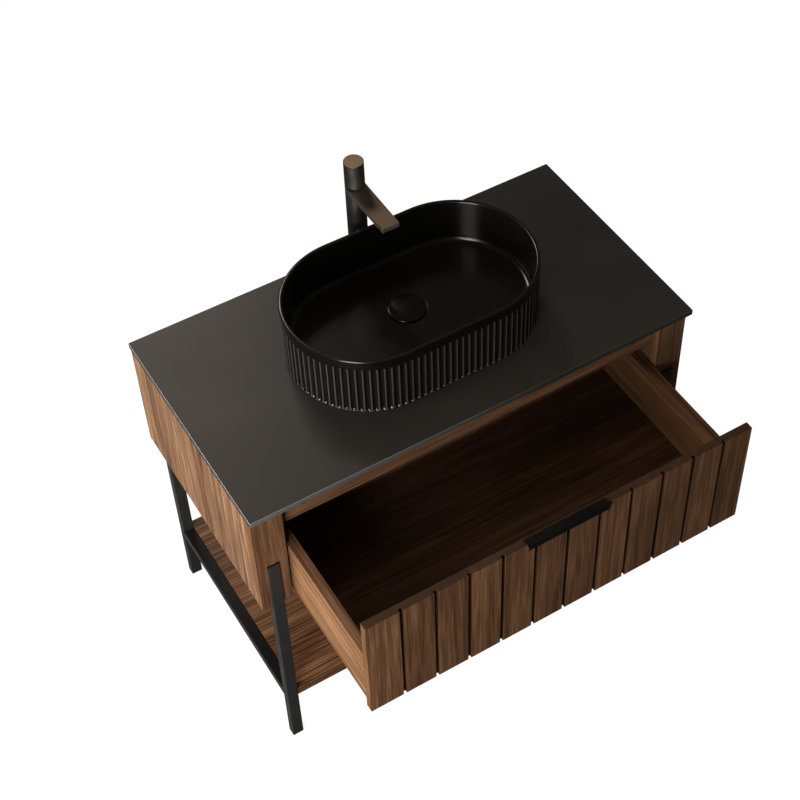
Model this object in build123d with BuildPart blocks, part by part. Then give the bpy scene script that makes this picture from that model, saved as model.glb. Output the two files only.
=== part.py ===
"""Bathroom vanity: steel-framed walnut cabinet, one drawer, fluted vessel basin and a tall mixer tap.

Millimetres, +Z up. The origin is on the floor, under the middle of the whole object as it stands at
rest, with its drawer pulled part way out. -Y is the front.
"""
import os
from math import cos, pi, sin

from build123d import *

os.makedirs("parts", exist_ok=True)

# Countertop
TOP_Z = 775.0
SLAB_W = 1000.0
SLAB_D = 526.0
SLAB_T = 12.0
SLAB_CORNER_R = 3.0
SLAB_CHAMFER = 1.0

# Cabinet: its left and front sides are in line with the slab, which overhangs at the right and the back
CAB_W = 986.0
STILE_SETBACK = 4.0
CAB_BACK = 514.0
CAB_BOTTOM_Z = 495.0
STILE_W = 66.5
STILE_T = 18.0
SIDE_T = 21.5
RAIL_T = 18.0
RAIL_H = 59.0
BACK_T = 12.0

# Steel frame
LEG_W = 25.0
LEG_D = 20.0
TUBE_WALL = 1.5
TUBE_R = 2.0
LEG_TOP_Z = 622.0
LOWER_RAIL_TOP_Z = 164.0
GLIDE_T = 3.0
SHELF_T = 15.0

# Drawer
DRAWER_OPEN = 298.0
FRONT_T = 17.0
FRONT_GAP = 3.0
FRONT_LOW_Z = 485.5
FRONT_HIGH_Z = 759.5
SLATS = 12
GROOVE_PITCH = 70.75
GROOVE_SHIFT = 3.0
GROOVE_W = 6.0
GROOVE_D = 6.0
BOX_SIDE_T = 20.0
BOX_SIDE_GAP = 4.0
BOX_LENGTH = 430.0
BOX_LOW_Z = 509.5
BOX_HIGH_Z = 654.0
BOTTOM_Z = 520.5
BOTTOM_T = 8.0
BOTTOM_TENON = 6.0
BOX_BACK_T = 16.0
PULL_L = 178.0
PULL_T = 2.0
PULL_DEPTH = 20.0
PULL_REACH = 7.5
PULL_LIP_H = 10.0

# Basin
BASIN_L = 536.0
BASIN_W = 340.0
BASIN_H = 140.0
BASIN_WALL = 9.0
BASIN_FLOOR_H = 35.0
BASIN_FILLET = 14.0
RIM_FILLET = 3.5
BASIN_FOOT_W = 30.0
BASIN_RECESS_H = 18.0
FLUTES = 104
FLUTE_W = 11.6
FLUTE_D = 3.5
FLUTE_HIGH_H = 120.0

# Waste
DRAIN_BACK_OF_MIDDLE = 19.0
DRAIN_R = 21.0
DRAIN_BORE_R = 17.5
DRAIN_HOLE_R = 22.5
FLANGE_R = 30.5
FLANGE_T = 2.5
CAP_R = 31.0
CAP_TRAVEL = 7.5
TAIL_R = 16.0
TAIL_BORE_R = 14.5

# Mixer
TAP_FROM_FRONT = 472.5
TAP_R = 20.5
TAP_BORE_R = 17.5
SPOUT_TOP_H = 219.0
SPOUT_T = 9.5
SPOUT_W = 38.4
SPOUT_REACH = 140.0
HANDLE_GAP = 2.8
HANDLE_TOP_H = 281.0
PIVOT_H = 222.0
SHANK_R = 14.0
INLET_R = 4.46

# Slack
PLAY = 0.3
SCREW_PLAY = 0.05
RUNNING_PLAY = 0.06
THREAD_PLAY = 0.1

# Broken edges of the wood
ARRIS = 0.8

# Places worked out from the above
OVERALL_D = SLAB_D + DRAWER_OPEN - STILE_SETBACK + PULL_REACH
Y_SLAB = OVERALL_D / 2 - SLAB_D
X_LEFT = -SLAB_W / 2
X_MID = X_LEFT + CAB_W / 2
MIDDLE = Plane.YZ.offset(X_MID)
SLAB_LOW_Z = TOP_Z - SLAB_T
Y_STILE = Y_SLAB + STILE_SETBACK
Y_BOARD = Y_STILE + STILE_T
Y_BACK = Y_SLAB + CAB_BACK
X_LEG = X_LEFT + SIDE_T
X_RUNNER = X_LEG + LEG_W
X_OPENING = X_LEFT + STILE_W
Y_FRONT = Y_STILE - DRAWER_OPEN
Y_BOX = Y_FRONT + FRONT_T
X_BOX = X_OPENING + BOX_SIDE_GAP
X_BOX_IN = X_BOX + BOX_SIDE_T
BASIN_Y = Y_SLAB + SLAB_D / 2
DRAIN_Y = BASIN_Y + DRAIN_BACK_OF_MIDDLE
TAP_Y = Y_SLAB + TAP_FROM_FRONT


def across(x):
    """The same place on the other side of the cabinet."""
    return 2 * X_MID - x


def block(x, y, z, mode=Mode.ADD):
    """A box given by its low and high along each axis."""
    with Locations(((x[0] + x[1]) / 2, (y[0] + y[1]) / 2, (z[0] + z[1]) / 2)):
        Box(x[1] - x[0], y[1] - y[0], z[1] - z[0], mode=mode)


def post(x, y, z, radius, mode=Mode.ADD):
    """An upright cylinder from z[0] to z[1]."""
    with Locations((x, y, (z[0] + z[1]) / 2)):
        Cylinder(radius, z[1] - z[0], mode=mode)


def ring(x, y, z, outer, inner):
    """An upright tube from z[0] to z[1]."""
    post(x, y, z, outer)
    post(x, y, z, inner, mode=Mode.SUBTRACT)


def rod_x(x, y, z, radius, mode=Mode.ADD):
    """A cylinder along X from x[0] to x[1]."""
    with Locations(Location(((x[0] + x[1]) / 2, y, z), (0, 90, 0))):
        Cylinder(radius, x[1] - x[0], mode=mode)


def rod_y(x, y, z, radius, mode=Mode.ADD):
    """A cylinder along Y from y[0] to y[1]."""
    with Locations(Location((x, (y[0] + y[1]) / 2, z), (90, 0, 0))):
        Cylinder(radius, y[1] - y[0], mode=mode)


def save(piece, name):
    """Label a finished piece and write it."""
    piece.part.label = name
    export_step(piece.part, f"parts/{name}.step")


def save_pair(left, name):
    """Write a left-hand piece and its mirror image on the right."""
    save(left, f"{name}_left")
    with BuildPart() as right:
        mirror(left.part, about=MIDDLE)
    save(right, f"{name}_right")


# ---------------------------------------------------------------- countertop
with BuildPart() as countertop:
    with BuildSketch(Plane.XY.offset(SLAB_LOW_Z)):
        with Locations((0, Y_SLAB + SLAB_D / 2)):
            RectangleRounded(SLAB_W, SLAB_D, SLAB_CORNER_R)
    extrude(amount=SLAB_T)
    chamfer(countertop.faces().sort_by(Axis.Z)[-1].edges(), SLAB_CHAMFER)
    chamfer(countertop.faces().sort_by(Axis.Z)[0].edges(), SLAB_CHAMFER)
    post(0, DRAIN_Y, (SLAB_LOW_Z, TOP_Z), DRAIN_HOLE_R, mode=Mode.SUBTRACT)
    post(0, TAP_Y, (SLAB_LOW_Z, TOP_Z), TAP_BORE_R, mode=Mode.SUBTRACT)
save(countertop, "countertop")

# ---------------------------------------------------------------- carcass
BOLT_R = 3.0
BOLT_HEAD_R = 6.0
BOLT_HEAD_T = 3.0
BOLT_IN_SIDE = 14.0
BOLT_TIP_X = X_LEG - BOLT_IN_SIDE
BOLT_Z = LEG_TOP_Z - LEG_D / 2
BOLT_YS = [Y_SLAB + d for d in (80.0, 200.0, 320.0, 440.0)]

with BuildPart() as side_panel:
    block((X_LEFT, X_LEG), (Y_BOARD, Y_BACK), (CAB_BOTTOM_Z, SLAB_LOW_Z))
    for y in BOLT_YS:
        rod_x((BOLT_TIP_X - PLAY, X_LEG), y, BOLT_Z, BOLT_R + SCREW_PLAY, mode=Mode.SUBTRACT)
save_pair(side_panel, "side_panel")

with BuildPart() as front_stile:
    block((X_LEFT, X_OPENING), (Y_STILE, Y_BOARD), (CAB_BOTTOM_Z, SLAB_LOW_Z))
    chamfer(front_stile.faces().sort_by(Axis.Y)[0].edges().filter_by(Axis.Z), ARRIS)
    block(
        (X_LEG - PLAY, X_RUNNER + PLAY), (Y_STILE, Y_BOARD), (CAB_BOTTOM_Z, LEG_TOP_Z + PLAY),
        mode=Mode.SUBTRACT,
    )
save_pair(front_stile, "front_stile")

SLIDE_SCREW_R = 2.0
SLIDE_SCREW_L = 14.0
SLIDE_HEAD_R = 3.5
SLIDE_HEAD_T = 1.2
SLIDE_SCREW_Z = 522.0
SLIDE_SCREW_YS = [Y_SLAB + d for d in (60.0, 240.0, 420.0)]

with BuildPart() as runner_panel:
    block((X_RUNNER, X_OPENING), (Y_BOARD, Y_BACK - BACK_T), (CAB_BOTTOM_Z, SLAB_LOW_Z))
    for y in BOLT_YS:
        rod_x((X_RUNNER, X_OPENING), y, BOLT_Z, BOLT_R + SCREW_PLAY, mode=Mode.SUBTRACT)
        rod_x(
            (X_OPENING - BOLT_HEAD_T, X_OPENING), y, BOLT_Z, BOLT_HEAD_R + SCREW_PLAY,
            mode=Mode.SUBTRACT,
        )
    for y in SLIDE_SCREW_YS:
        rod_x(
            (X_OPENING - SLIDE_SCREW_L, X_OPENING), y, SLIDE_SCREW_Z, SLIDE_SCREW_R + SCREW_PLAY,
            mode=Mode.SUBTRACT,
        )
save_pair(runner_panel, "runner_panel")

with BuildPart() as top_front_rail:
    block(
        (X_OPENING, across(X_OPENING)), (Y_BOARD, Y_BOARD + RAIL_T), (SLAB_LOW_Z - RAIL_H, SLAB_LOW_Z)
    )
save(top_front_rail, "top_front_rail")

PIPE_CUT_W = 360.0
PIPE_CUT_H = 140.0
PIPE_CUT_R = 20.0
PIPE_CUT_Z = 640.0

with BuildPart() as back_panel:
    block((X_RUNNER, across(X_RUNNER)), (Y_BACK - BACK_T, Y_BACK), (CAB_BOTTOM_Z, SLAB_LOW_Z))
    with BuildSketch(Plane.XZ.offset(-Y_BACK)):
        with Locations((X_MID, PIPE_CUT_Z)):
            RectangleRounded(PIPE_CUT_W, PIPE_CUT_H, PIPE_CUT_R)
    extrude(amount=BACK_T, mode=Mode.SUBTRACT)
save(back_panel, "back_panel")

# ---------------------------------------------------------------- steel frame
Y_REAR_LEG = Y_BACK - LEG_D
Y_FRONT_LEG_BACK = Y_SLAB + LEG_D
SHELF_LOW_Z = LOWER_RAIL_TOP_Z - SHELF_T
TAB_L = 30.0
TAB_W = 25.0
TAB_T = 3.0
TAB_YS = [Y_SLAB + d for d in (60.0, 454.0)]
TAB_SCREW_R = 2.0
X_TAB_HOLE = X_RUNNER + TAB_W / 2


def upright_tube(x, y, z):
    """A square leg, closed at the top and open at the foot, on its low corner x, y."""
    block((x, x + LEG_W), (y, y + LEG_D), z)
    fillet(edges().filter_by(Axis.Z), TUBE_R)
    block(
        (x + TUBE_WALL, x + LEG_W - TUBE_WALL),
        (y + TUBE_WALL, y + LEG_D - TUBE_WALL),
        (z[0], z[1] - TUBE_WALL),
        mode=Mode.SUBTRACT,
    )


def level_tube(z):
    """A rail between the front and rear legs, from z[0] to z[1]."""
    block((X_LEG, X_RUNNER), (Y_FRONT_LEG_BACK, Y_REAR_LEG), z)
    fillet(edges().filter_by(Axis.Y), TUBE_R)
    block(
        (X_LEG + TUBE_WALL, X_RUNNER - TUBE_WALL),
        (Y_FRONT_LEG_BACK, Y_REAR_LEG),
        (z[0] + TUBE_WALL, z[1] - TUBE_WALL),
        mode=Mode.SUBTRACT,
    )


with BuildPart() as leg_front:
    upright_tube(X_LEG, Y_SLAB, (GLIDE_T, LEG_TOP_Z))
save_pair(leg_front, "leg_front")

with BuildPart() as leg_rear:
    upright_tube(X_LEG, Y_REAR_LEG, (GLIDE_T, LEG_TOP_Z))
save_pair(leg_rear, "leg_rear")

with BuildPart() as lower_rail:
    level_tube((LOWER_RAIL_TOP_Z - LEG_D, LOWER_RAIL_TOP_Z))
    for y in TAB_YS:
        block(
            (X_RUNNER, X_RUNNER + TAB_W), (y - TAB_L / 2, y + TAB_L / 2),
            (SHELF_LOW_Z - TAB_T, SHELF_LOW_Z),
        )
        post(
            X_TAB_HOLE, y, (SHELF_LOW_Z - TAB_T, SHELF_LOW_Z), TAB_SCREW_R + SCREW_PLAY,
            mode=Mode.SUBTRACT,
        )
save_pair(lower_rail, "lower_rail")

with BuildPart() as upper_rail:
    level_tube((LEG_TOP_Z - LEG_D, LEG_TOP_Z))
    for y in BOLT_YS:
        rod_x((X_LEG, X_RUNNER), y, BOLT_Z, BOLT_R + SCREW_PLAY, mode=Mode.SUBTRACT)
save_pair(upper_rail, "upper_rail")

with BuildPart() as frame_bolts:
    for y in BOLT_YS:
        rod_x((BOLT_TIP_X, X_OPENING - BOLT_HEAD_T), y, BOLT_Z, BOLT_R)
        rod_x((X_OPENING - BOLT_HEAD_T, X_OPENING), y, BOLT_Z, BOLT_HEAD_R)
    mirror(about=MIDDLE)
save(frame_bolts, "frame_bolts")

LEG_XS = [X_LEG, across(X_LEG) - LEG_W]
LEG_YS = [Y_SLAB, Y_REAR_LEG]
PLUG_H = 12.0
GLIDE_INSET = 0.4
PLUG_INSET = TUBE_WALL + SCREW_PLAY

with BuildPart() as foot_glides:
    for x in LEG_XS:
        for y in LEG_YS:
            block(
                (x + GLIDE_INSET, x + LEG_W - GLIDE_INSET), (y + GLIDE_INSET, y + LEG_D - GLIDE_INSET),
                (0, GLIDE_T),
            )
            block(
                (x + PLUG_INSET, x + LEG_W - PLUG_INSET), (y + PLUG_INSET, y + LEG_D - PLUG_INSET),
                (GLIDE_T, GLIDE_T + PLUG_H),
            )
save(foot_glides, "foot_glides")

# ---------------------------------------------------------------- lower shelf
TAB_SCREW_L = 12.0
TAB_HEAD_R = 4.0
TAB_HEAD_T = 2.5
TAB_SPOTS = [(x, y) for y in TAB_YS for x in (X_TAB_HOLE, across(X_TAB_HOLE))]

with BuildPart() as lower_shelf:
    block(
        (X_RUNNER + PLAY, across(X_RUNNER + PLAY)), (Y_SLAB, Y_BACK), (SHELF_LOW_Z, LOWER_RAIL_TOP_Z)
    )
    chamfer(lower_shelf.edges().filter_by(Axis.X), ARRIS)
    for x, y in TAB_SPOTS:
        post(
            x, y, (SHELF_LOW_Z, SHELF_LOW_Z - TAB_T + TAB_SCREW_L + PLAY), TAB_SCREW_R + SCREW_PLAY,
            mode=Mode.SUBTRACT,
        )
save(lower_shelf, "lower_shelf")

with BuildPart() as shelf_screws:
    for x, y in TAB_SPOTS:
        post(x, y, (SHELF_LOW_Z - TAB_T - TAB_HEAD_T, SHELF_LOW_Z - TAB_T), TAB_HEAD_R)
        post(x, y, (SHELF_LOW_Z - TAB_T, SHELF_LOW_Z - TAB_T + TAB_SCREW_L), TAB_SCREW_R)
save(shelf_screws, "shelf_screws")

# ---------------------------------------------------------------- drawer
DOWEL_R = 4.0
DOWEL_IN_FRONT = 8.0
DOWEL_IN_SIDE = 22.0
DOWEL_IN_BACK = 16.0
DOWEL_ZS = (540.0, 582.0, 624.0)
BACK_DOWEL_ZS = (560.0, 620.0)
X_DOWEL = X_BOX + BOX_SIDE_T / 2
Y_BOX_END = Y_BOX + BOX_LENGTH
Y_BACK_DOWEL = Y_BOX_END - BOX_BACK_T / 2
BOTTOM_PLAY = 0.2
SLIDE_IN = 40.0
SLIDE_X = X_OPENING + SLIDE_IN
ROOF_SCREW_L = 6.0
ROOF_SCREW_YS = [Y_BOX + d for d in (40.0, 210.0, 380.0)]

PULL_SCREW_R = 1.75
PULL_HEAD_R = 3.5
PULL_SCREW_L = 18.0
PULL_SCREW_PITCH = 70.0
PULL_SCREW_BACK = 9.5
PULL_SCREW_Y = Y_FRONT + PULL_SCREW_BACK
PULL_SCREW_XS = [X_MID + i * PULL_SCREW_PITCH for i in (-1, 0, 1)]
PULL_BEND_R = 1.2
PULL_TOP_Z = FRONT_HIGH_Z + PULL_T
Y_PULL = Y_FRONT - PULL_REACH

with BuildPart() as drawer_front:
    block(
        (X_OPENING + FRONT_GAP, across(X_OPENING + FRONT_GAP)),
        (Y_FRONT, Y_BOX),
        (FRONT_LOW_Z, FRONT_HIGH_Z),
    )
    chamfer(drawer_front.faces().sort_by(Axis.Y)[0].edges(), ARRIS)
    for i in range(1, SLATS):
        x = X_MID + GROOVE_SHIFT + GROOVE_PITCH * (i - SLATS / 2)
        block(
            (x - GROOVE_W / 2, x + GROOVE_W / 2), (Y_FRONT, Y_FRONT + GROOVE_D),
            (FRONT_LOW_Z, FRONT_HIGH_Z),
            mode=Mode.SUBTRACT,
        )
    for x in (X_DOWEL, across(X_DOWEL)):
        for z in DOWEL_ZS:
            rod_y(x, (Y_BOX - DOWEL_IN_FRONT, Y_BOX), z, DOWEL_R + SCREW_PLAY, mode=Mode.SUBTRACT)
    for x in PULL_SCREW_XS:
        post(
            x, PULL_SCREW_Y, (PULL_TOP_Z - PULL_SCREW_L, FRONT_HIGH_Z), PULL_SCREW_R + SCREW_PLAY,
            mode=Mode.SUBTRACT,
        )
save(drawer_front, "drawer_front")

with BuildPart() as drawer_side:
    block((X_BOX, X_BOX_IN), (Y_BOX, Y_BOX_END), (BOX_LOW_Z, BOX_HIGH_Z))
    block(
        (X_BOX_IN - BOTTOM_TENON, X_BOX_IN), (Y_BOX, Y_BOX_END),
        (BOTTOM_Z - BOTTOM_PLAY, BOTTOM_Z + BOTTOM_T + BOTTOM_PLAY),
        mode=Mode.SUBTRACT,
    )
    for z in DOWEL_ZS:
        rod_y(X_DOWEL, (Y_BOX, Y_BOX + DOWEL_IN_SIDE), z, DOWEL_R + SCREW_PLAY, mode=Mode.SUBTRACT)
    for z in BACK_DOWEL_ZS:
        rod_x((X_DOWEL, X_BOX_IN), Y_BACK_DOWEL, z, DOWEL_R + SCREW_PLAY, mode=Mode.SUBTRACT)
save_pair(drawer_side, "drawer_side")

with BuildPart() as drawer_back:
    block(
        (X_BOX_IN, across(X_BOX_IN)), (Y_BOX_END - BOX_BACK_T, Y_BOX_END), (BOTTOM_Z + BOTTOM_T, BOX_HIGH_Z)
    )
    for z in BACK_DOWEL_ZS:
        for x in (X_BOX_IN, across(X_BOX_IN + DOWEL_IN_BACK)):
            rod_x((x, x + DOWEL_IN_BACK), Y_BACK_DOWEL, z, DOWEL_R + SCREW_PLAY, mode=Mode.SUBTRACT)
save(drawer_back, "drawer_back")

with BuildPart() as drawer_bottom:
    block(
        (X_BOX_IN - BOTTOM_TENON + BOTTOM_PLAY, across(X_BOX_IN - BOTTOM_TENON + BOTTOM_PLAY)),
        (Y_BOX, Y_BOX_END),
        (BOTTOM_Z, BOTTOM_Z + BOTTOM_T),
    )
    for x in (SLIDE_X, across(SLIDE_X)):
        for y in ROOF_SCREW_YS:
            post(
                x, y, (BOTTOM_Z, BOTTOM_Z + ROOF_SCREW_L + PLAY), SLIDE_SCREW_R + SCREW_PLAY,
                mode=Mode.SUBTRACT,
            )
save(drawer_bottom, "drawer_bottom")

with BuildPart() as drawer_dowels:
    for z in DOWEL_ZS:
        rod_y(X_DOWEL, (Y_BOX - DOWEL_IN_FRONT + PLAY, Y_BOX + DOWEL_IN_SIDE - PLAY), z, DOWEL_R)
    for z in BACK_DOWEL_ZS:
        rod_x((X_DOWEL + PLAY, X_BOX_IN + DOWEL_IN_BACK - PLAY), Y_BACK_DOWEL, z, DOWEL_R)
    mirror(about=MIDDLE)
save(drawer_dowels, "drawer_dowels")

with BuildPart() as drawer_pull:
    block(
        (X_MID - PULL_L / 2, X_MID + PULL_L / 2), (Y_PULL, Y_PULL + PULL_DEPTH), (FRONT_HIGH_Z, PULL_TOP_Z)
    )
    block(
        (X_MID - PULL_L / 2, X_MID + PULL_L / 2), (Y_PULL, Y_PULL + PULL_T),
        (PULL_TOP_Z - PULL_LIP_H, FRONT_HIGH_Z),
    )
    fillet(drawer_pull.edges().filter_by(Axis.X).group_by(Axis.Z)[-1].sort_by(Axis.Y)[0], PULL_BEND_R)
    for x in PULL_SCREW_XS:
        post(x, PULL_SCREW_Y, (FRONT_HIGH_Z, PULL_TOP_Z), PULL_SCREW_R + SCREW_PLAY, mode=Mode.SUBTRACT)
        with Locations((x, PULL_SCREW_Y, FRONT_HIGH_Z + PULL_T / 2)):
            Cone(PULL_SCREW_R + SCREW_PLAY, PULL_HEAD_R + SCREW_PLAY, PULL_T, mode=Mode.SUBTRACT)
save(drawer_pull, "drawer_pull")

with BuildPart() as pull_screws:
    for x in PULL_SCREW_XS:
        post(x, PULL_SCREW_Y, (PULL_TOP_Z - PULL_SCREW_L + PLAY, FRONT_HIGH_Z), PULL_SCREW_R)
        with Locations((x, PULL_SCREW_Y, FRONT_HIGH_Z + PULL_T / 2)):
            Cone(PULL_SCREW_R, PULL_HEAD_R, PULL_T)
save(pull_screws, "pull_screws")

BUMPER_R = 4.0
BUMPER_T = 0.7
BUMPER_IN = 52.0
BUMPER_DOWN = 28.0

with BuildPart() as drawer_bumpers:
    for x in (X_OPENING + BUMPER_IN, across(X_OPENING + BUMPER_IN)):
        rod_y(x, (Y_BOARD - BUMPER_T, Y_BOARD), SLAB_LOW_Z - BUMPER_DOWN, BUMPER_R)
save(drawer_bumpers, "drawer_bumpers")

# ---------------------------------------------------------------- drawer slides
SLIDE_L = 420.0
SLIDE_T = 1.5
SLIDE_LOW_Z = 500.0
SLIDE_FLANGE_H = 30.0
SLIDE_BAR_W = 8.0
SLIDE_BAR_H = 13.0
SLIDE_STEP = 0.7
MID_WALL = 1.8
SLIDE_FOOT_W = 52.0
MID_LIFT = 3.0
DRAWER_LIFT = 5.0
SLIDE_BACK = 8.0
Y_SLIDE = Y_BOARD + SLIDE_BACK
Y_MID_SLIDE = Y_SLIDE - DRAWER_OPEN / 2


def channel(x, y, half_gap, low_z, roof_z, top_z):
    """An upside-down U along Y, its walls either side of x and its roof from roof_z to top_z."""
    half = half_gap + MID_WALL
    block((x - half, x + half), y, (low_z, top_z))
    block((x - half_gap, x + half_gap), y, (low_z, roof_z), mode=Mode.SUBTRACT)


with BuildPart() as slide_fixed:
    block(
        (X_OPENING, X_OPENING + SLIDE_T), (Y_SLIDE, Y_SLIDE + SLIDE_L),
        (SLIDE_LOW_Z, SLIDE_LOW_Z + SLIDE_FLANGE_H),
    )
    block(
        (X_OPENING, X_OPENING + SLIDE_FOOT_W), (Y_SLIDE, Y_SLIDE + SLIDE_L),
        (SLIDE_LOW_Z, SLIDE_LOW_Z + SLIDE_T),
    )
    block(
        (SLIDE_X - SLIDE_BAR_W / 2, SLIDE_X + SLIDE_BAR_W / 2), (Y_SLIDE, Y_SLIDE + SLIDE_L),
        (SLIDE_LOW_Z + SLIDE_T, SLIDE_LOW_Z + SLIDE_T + SLIDE_BAR_H),
    )
    for y in SLIDE_SCREW_YS:
        rod_x(
            (X_OPENING, X_OPENING + SLIDE_T), y, SLIDE_SCREW_Z, SLIDE_SCREW_R + SCREW_PLAY,
            mode=Mode.SUBTRACT,
        )
save_pair(slide_fixed, "slide_fixed")

MID_GAP = SLIDE_BAR_W / 2 + SLIDE_STEP
MID_ROOF_Z = SLIDE_LOW_Z + SLIDE_T + SLIDE_BAR_H + SLIDE_STEP
MID_TOP_Z = MID_ROOF_Z + MID_WALL
DRAWER_ROOF_Z = MID_TOP_Z + SLIDE_STEP

with BuildPart() as slide_middle:
    channel(
        SLIDE_X, (Y_MID_SLIDE, Y_MID_SLIDE + SLIDE_L), MID_GAP, SLIDE_LOW_Z + MID_LIFT,
        MID_ROOF_Z, MID_TOP_Z,
    )
save_pair(slide_middle, "slide_middle")

with BuildPart() as slide_drawer:
    channel(
        SLIDE_X, (Y_BOX, Y_BOX + SLIDE_L), MID_GAP + MID_WALL + SLIDE_STEP, SLIDE_LOW_Z + DRAWER_LIFT,
        DRAWER_ROOF_Z, BOTTOM_Z,
    )
    for y in ROOF_SCREW_YS:
        post(SLIDE_X, y, (DRAWER_ROOF_Z, BOTTOM_Z), SLIDE_SCREW_R + SCREW_PLAY, mode=Mode.SUBTRACT)
        post(
            SLIDE_X, y, (DRAWER_ROOF_Z, DRAWER_ROOF_Z + SLIDE_HEAD_T), SLIDE_HEAD_R + SCREW_PLAY,
            mode=Mode.SUBTRACT,
        )
save_pair(slide_drawer, "slide_drawer")

with BuildPart() as drawer_slide_screws:
    for y in ROOF_SCREW_YS:
        post(SLIDE_X, y, (DRAWER_ROOF_Z, DRAWER_ROOF_Z + SLIDE_HEAD_T), SLIDE_HEAD_R)
        post(SLIDE_X, y, (DRAWER_ROOF_Z, BOTTOM_Z + ROOF_SCREW_L), SLIDE_SCREW_R)
    mirror(about=MIDDLE)
save(drawer_slide_screws, "drawer_slide_screws")

with BuildPart() as slide_screws:
    for y in SLIDE_SCREW_YS:
        rod_x((X_OPENING - SLIDE_SCREW_L + PLAY, X_OPENING + SLIDE_T), y, SLIDE_SCREW_Z, SLIDE_SCREW_R)
        rod_x((X_OPENING + SLIDE_T, X_OPENING + SLIDE_T + SLIDE_HEAD_T), y, SLIDE_SCREW_Z, SLIDE_HEAD_R)
    mirror(about=MIDDLE)
save(slide_screws, "slide_screws")

# ---------------------------------------------------------------- basin
BASIN_END_R = BASIN_W / 2
HALF_STRAIGHT = (BASIN_L - BASIN_W) / 2
FLUTE_R = (FLUTE_W**2 / 4 + FLUTE_D**2) / (2 * FLUTE_D)
FLANGE_SEAT = 0.5
FLOOR_Z = TOP_Z + BASIN_FLOOR_H
FLANGE_Z = FLOOR_Z - FLANGE_T - FLANGE_SEAT


def round_the_basin(distance, radius):
    """The point at a distance along the basin's outline, moved out to the given end radius."""
    straight = 2 * HALF_STRAIGHT
    arc = pi * BASIN_END_R
    half, along = divmod(distance, straight + arc)
    sign = 1 if half == 0 else -1
    if along < straight:
        return (sign * (along - HALF_STRAIGHT), -sign * radius)
    angle = (along - straight) / BASIN_END_R - pi / 2
    return (sign * (HALF_STRAIGHT + radius * cos(angle)), sign * radius * sin(angle))


def flute_centres():
    """Where the flute cutters stand, evenly spaced round the outside of the basin."""
    outline = 4 * HALF_STRAIGHT + 2 * pi * BASIN_END_R
    spots = [
        round_the_basin(outline * (i + 0.5) / FLUTES, BASIN_END_R + FLUTE_R - FLUTE_D)
        for i in range(FLUTES)
    ]
    return [(x, BASIN_Y + y) for x, y in spots]


def basin_outline(inset, low_h, height, mode=Mode.ADD):
    """A prism of the basin's oval outline, moved in by inset."""
    with BuildSketch(Plane.XY.offset(TOP_Z + low_h)) as outline:
        with Locations((0, BASIN_Y)):
            SlotOverall(BASIN_L - 2 * inset, BASIN_W - 2 * inset)
    extrude(outline.sketch, amount=height, mode=mode)


with BuildPart() as basin:
    basin_outline(0, 0, BASIN_H)
    basin_outline(BASIN_WALL, BASIN_FLOOR_H, BASIN_H - BASIN_FLOOR_H, mode=Mode.SUBTRACT)
    fillet(basin.faces().filter_by(Axis.Z).sort_by(Axis.Z)[1].edges(), BASIN_FILLET)
    fillet(basin.faces().sort_by(Axis.Z)[-1].edges(), RIM_FILLET)
    basin_outline(BASIN_FOOT_W, 0, BASIN_RECESS_H, mode=Mode.SUBTRACT)
    with BuildSketch(Plane.XY.offset(TOP_Z)):
        with Locations(flute_centres()):
            Circle(FLUTE_R)
    extrude(amount=FLUTE_HIGH_H, mode=Mode.SUBTRACT)
    post(0, DRAIN_Y, (TOP_Z, FLOOR_Z), DRAIN_HOLE_R, mode=Mode.SUBTRACT)
    post(0, DRAIN_Y, (FLANGE_Z, FLOOR_Z), FLANGE_R + PLAY, mode=Mode.SUBTRACT)
save(basin, "basin")

# ---------------------------------------------------------------- waste
DRAIN_END_Z = TOP_Z - 75.0
DRAIN_MOUTH = 1.5
DRAIN_GASKET_R = 31.0
DRAIN_GASKET_T = 6.0
DRAIN_NUT_R = 31.0
DRAIN_NUT_T = 12.0
GASKET_LOW_Z = SLAB_LOW_Z - DRAIN_GASKET_T
NUT_LOW_Z = GASKET_LOW_Z - DRAIN_NUT_T
TAIL_END_Z = TOP_Z - 112.0
TAIL_COLLAR_T = 4.0
CAP_RIM_T = 2.0
CAP_DOME_H = 3.0
CAP_DOME_R = (CAP_R**2 + CAP_DOME_H**2) / (2 * CAP_DOME_H)
CAP_SOCKET_H = 3.0
STEM_R = 3.0
STEM_TIP = 4.0
STEM_CLIP_R = 5.0
STEM_CLIP_T = 2.0
SPIDER_Z = TOP_Z + 2.0
SPIDER_T = 4.0
SPIDER_BORE_R = 14.5
SPIDER_HUB_R = 6.0
SPIDER_ARMS = 3
SPIDER_ARM_L = 15.5
SPIDER_ARM_W = 3.0
SEAL_R = 26.0
SEAL_BORE_R = 21.0
SEAL_T = 1.0
CAP_Z = FLANGE_Z + FLANGE_T + SEAL_T + PLAY
STEM_STOP_Z = SPIDER_Z - PLAY - CAP_TRAVEL

with BuildPart() as drain_body:
    post(0, DRAIN_Y, (FLANGE_Z, FLANGE_Z + FLANGE_T), FLANGE_R)
    post(0, DRAIN_Y, (DRAIN_END_Z, FLANGE_Z), DRAIN_R)
    post(0, DRAIN_Y, (DRAIN_END_Z, FLANGE_Z + FLANGE_T), DRAIN_BORE_R, mode=Mode.SUBTRACT)
    chamfer(drain_body.faces().sort_by(Axis.Z)[-1].edges().sort_by(SortBy.RADIUS)[0], DRAIN_MOUTH)
save(drain_body, "drain_body")

with BuildPart() as drain_gasket:
    ring(0, DRAIN_Y, (GASKET_LOW_Z, SLAB_LOW_Z), DRAIN_GASKET_R, DRAIN_R + THREAD_PLAY)
save(drain_gasket, "drain_gasket")

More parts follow.
